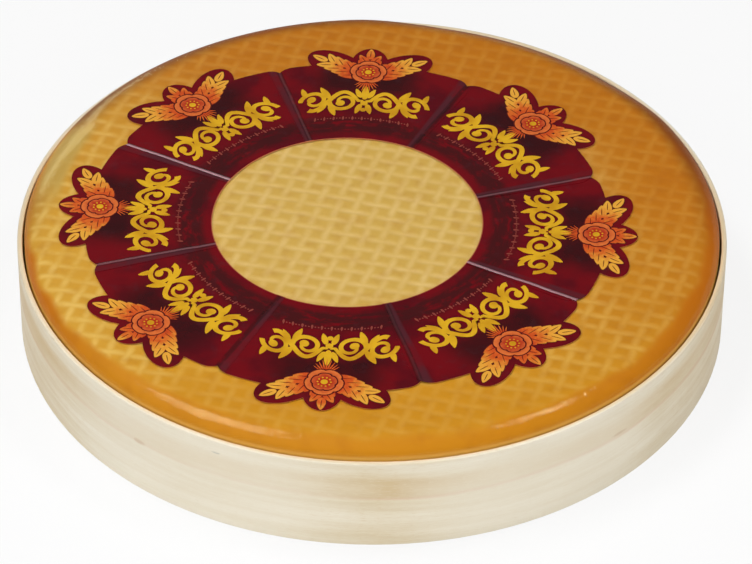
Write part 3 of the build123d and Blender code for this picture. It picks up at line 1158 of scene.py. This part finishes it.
def scroll():
    """The gold scroll along a label's arc."""
    motif = Motif("gold_scroll", gold_ink, PRINT_HEIGHT, bent=True)
    wave = (SCROLL_REACH - SCROLL_LEAD) / 2
    stem_start = SCROLL_LEAD * 0.2
    stem_length = SCROLL_REACH - wave * 0.35 - stem_start
    path, widths = [], []
    for index in range(STEM_STEPS + 1):
        px = stem_start + stem_length * index / STEM_STEPS
        swing = math.sin(max(px - SCROLL_LEAD, 0.0) / wave * math.pi)
        path.append((px, SCROLL_RADIUS + SCROLL_SWAY * swing))
        swelling = math.sin(min(index / STEM_STEPS * 2.2, 1.0) * math.pi / 2)
        widths.append(STEM_WIDTH * (0.55 + 0.45 * swelling))
    mirrored(motif, ribbon(path, widths))
    for number, way in ((0, -1), (1, 1)):
        cx = SCROLL_LEAD + wave * (number + 0.5)
        cy = SCROLL_RADIUS + way * 0.6
        outline, end = curl(cx, cy, wave / 2 - 0.2, way)
        mirrored(motif, outline)
        mirrored(motif, disc(*end, BERRY))
    part = SCROLL_LEAD + wave
    leaves = (
        (part - 0.3, 1.8, 9.5, 3.4, 60),
        (part - 0.6, -2.6, 8.5, 3.2, 250),
        (part + 1.0, -3.0, 6.0, 2.4, 305),
        (SCROLL_REACH - 2.5, 4.0, 6.5, 2.8, 70),
        (1.4, -2.4, 7.0, 3.0, 285),
        (1.6, 2.2, 7.0, 2.8, 68),
    )
    for px, up, length, width, turn in leaves:
        mirrored(motif, drop(px, SCROLL_RADIUS + up, length, width, turn))
    motif.plate(drop(0.0, SCROLL_RADIUS + 1.0, 10.0, 3.6, 90))
    motif.plate(disc(0.0, SCROLL_RADIUS - 1.6, 1.6))
    motif.plate(disc(0.0, SCROLL_RADIUS - 6.4, 1.3))
    return motif


gold_scroll = scroll()
print("plates in a scroll", gold_scroll.count)

# %% [markdown]
# An ear of wheat is a row of grains in pairs, each pair a little smaller, and one grain at the
# tip. The blossom has two rows of five petals. Everything lies over darker copies that are
# slightly larger, and each grain carries a fine dark stroke, as in a printed engraving.
# Awns fan out below. The layers lie a few hundredths of a millimetre over each other. SIDE_EAR says
# how far from the heart an ear starts, sideways and up, how far it leans and how large it is, and
# MIDDLE_EAR how far up, how large and with how many pairs.

# %% Crest of wheat and blossom
EAR_PAIRS = 4
SIDE_EAR = (3.2, -2.2, 60, 1.04)
MIDDLE_EAR = (1.6, 0.92, 2)
GRAIN_LENGTH = 9.2
GRAIN_WIDTH = 5.0
EAR_STEP = 4.3
GRAIN_TILT = 32
PETALS = 5
PETAL_SIZES = ((7.9, 7.2, 0), (5.2, 4.6, 36))
STAMENS = 10
STAMEN_REACH = 2.7
STAMEN_RADIUS = 0.42
STAMEN_POINTS = 8
RIM = 0.55
RIM_HEIGHT = 0.015
GRAIN_HEIGHT = 0.035
STROKE = 0.42
STROKE_SHARE = 0.62
STROKE_HEIGHT = 0.06
PETAL_RIM_HEIGHT = 0.084
PETAL_HEIGHT = 0.089
PETAL_ROW_STEP = 0.0105
PETAL_WAIST = 1.35
HEART_RADIUS = 1.5
HEART_HEIGHT = 0.106
AWNS = 9
AWN_FAN = 12
AWN_START = -5.0
AWN_LENGTH = 9.5
AWN_WIDTH = 0.75


def ear(rims, grains, strokes, cx, cy, turn, size, pairs=EAR_PAIRS):
    """One ear of wheat from its foot along a turn, with a dark rim and stroke to every grain."""
    c, s = math.cos(math.radians(turn)), math.sin(math.radians(turn))
    for index in reversed(range(pairs + 1)):
        foot = index * EAR_STEP * size
        shrink = size * (1.0 - 0.05 * index)
        length, width = GRAIN_LENGTH * shrink, GRAIN_WIDTH * shrink
        sides = (0,) if index == pairs else (-1, 1)
        for side in sides:
            px = cx + c * foot - s * side * 0.5 * size
            py = cy + s * foot + c * side * 0.5 * size
            tilt = turn + side * GRAIN_TILT
            back_x, back_y = math.cos(math.radians(tilt)) * RIM, math.sin(math.radians(tilt)) * RIM
            rim = drop(px - back_x, py - back_y, length + 2 * RIM, width + 2 * RIM, tilt)
            rims.plate(rim)
            grains.plate(drop(px, py, length, width, tilt))
            start_x, start_y = px + back_x * 3.0, py + back_y * 3.0
            strokes.plate(drop(start_x, start_y, length * STROKE_SHARE, STROKE, tilt, points=10))


def crest():
    """Ears, blossom and awns of a crest, and the dark rims under them."""
    rims = Motif("crest_rim", outline_ink, RIM_HEIGHT)
    grains = Motif("crest_wheat", crest_ink, GRAIN_HEIGHT)
    strokes = Motif("crest_stroke", outline_ink, STROKE_HEIGHT)
    petals = []
    for row in range(len(PETAL_SIZES)):
        lift = row * PETAL_ROW_STEP
        petals.append(Motif("crest_petal_rim_" + str(row), outline_ink, PETAL_RIM_HEIGHT + lift))
        petals.append(Motif("crest_petal_" + str(row), blossom_ink, PETAL_HEIGHT + lift))
    hearts = Motif("crest_heart", gold_ink, HEART_HEIGHT)
    aside, up, spread, size = SIDE_EAR
    for side in (-1, 1):
        ear(rims, grains, strokes, side * aside, CREST_HEART + up, 90 - side * spread, size)
    up, size, pairs = MIDDLE_EAR
    ear(rims, grains, strokes, 0.0, CREST_HEART + up, 90, size, pairs)
    for index in range(AWNS):
        fan = (index - (AWNS - 1) / 2) * AWN_FAN
        length = AWN_LENGTH - abs(fan) * 0.05
        grains.plate(drop(0.0, CREST_HEART + AWN_START, length, AWN_WIDTH, 270 + fan))
    for row, (length, width, start) in enumerate(PETAL_SIZES):
        for index in range(PETALS):
            turn = 90 + start + index * 360 / PETALS
            rim = drop(0.0, CREST_HEART, length + RIM, width + 2 * RIM, turn, waist=PETAL_WAIST)
            petal = drop(0.0, CREST_HEART, length, width, turn, waist=PETAL_WAIST)
            petals[2 * row].plate(rim)
            petals[2 * row + 1].plate(petal)
    hearts.plate(disc(0.0, CREST_HEART, HEART_RADIUS))
    for index in range(STAMENS):
        turn = index * 2 * math.pi / STAMENS
        right, up = STAMEN_REACH * math.cos(turn), STAMEN_REACH * math.sin(turn)
        hearts.plate(disc(right, CREST_HEART + up, STAMEN_RADIUS, STAMEN_POINTS))
    return rims, grains, strokes, *petals, hearts


crest_motifs = crest()
print("plates in a crest", sum(motif.count for motif in crest_motifs))

# %% [markdown]
# Below the scroll runs a fine line in a dull orange, as on carved mouldings: upright beads with two
# small dots between each pair.

# %% Beaded line
BEAD_RADIUS = 71.4
BEAD_COUNT = 31
BEAD_GAP = 1.36
BEAD_LENGTH = 2.6
BEAD_WIDTH = 1.1
DOT_SIZE = 0.36


def beads():
    """A line of beads and dots along the arc below the scroll."""
    motif = Motif("beaded_line", dull_ink, PRINT_HEIGHT, bent=True)
    for index in range(BEAD_COUNT):
        px = (index - (BEAD_COUNT - 1) / 2) * BEAD_GAP
        if index % 3 == 0:
            motif.plate(drop(px, BEAD_RADIUS - BEAD_LENGTH / 2, BEAD_LENGTH, BEAD_WIDTH, 90, points=12))
        else:
            motif.plate(disc(px, BEAD_RADIUS, DOT_SIZE, 10))
    return motif


beaded_line = beads()
print("beads and dots in a line", beaded_line.count)

# %% [markdown]
# All motifs were drawn once, upright. Now each is laid on all eight labels, turned to the middle of
# each label, and one label's motif becomes one piece.

# %% Lay the print on every label
motifs = [gold_scroll, beaded_line, *crest_motifs]
for number in range(LABEL_COUNT):
    for motif in motifs:
        motif.on_label(number)
print("plates on each label", sum(motif.count for motif in motifs))
